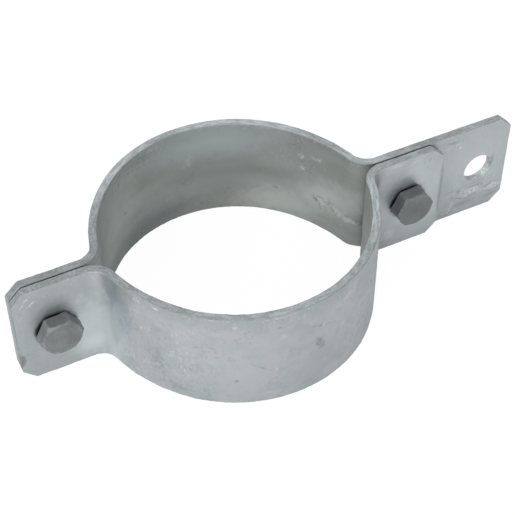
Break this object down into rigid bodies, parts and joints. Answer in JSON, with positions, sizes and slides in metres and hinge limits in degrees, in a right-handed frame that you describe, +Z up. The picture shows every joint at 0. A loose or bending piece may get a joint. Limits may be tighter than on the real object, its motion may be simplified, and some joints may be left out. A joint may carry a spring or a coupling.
{
  "type": "earthing pipe clamp",
  "caption": "Galvanised split strap clamp that bolts round a pipe, with a long drilled ear for the lug of an earth conductor.",
  "frame": {"origin": "on the pipe's axis, in the plane of the straps' lower edges, which the clamp rests on", "axes": "+Z up along the pipe's axis, +X towards the end of the long connection ear, -Y towards the bolt heads"},
  "size_m": [0.1865, 0.094, 0.04],
  "materials": {
    "galvanised_strap": "hot-dip galvanised, satin and mottled",
    "fasteners": "galvanised, dull dark grey"
  },
  "bodies": {
    "root": {"front_strap": "galvanised_strap", "rear_strap": "galvanised_strap", "left_bolt": "fasteners", "left_nut": "fasteners", "right_bolt": "fasteners", "right_nut": "fasteners"}
  },
  "joints": []
}
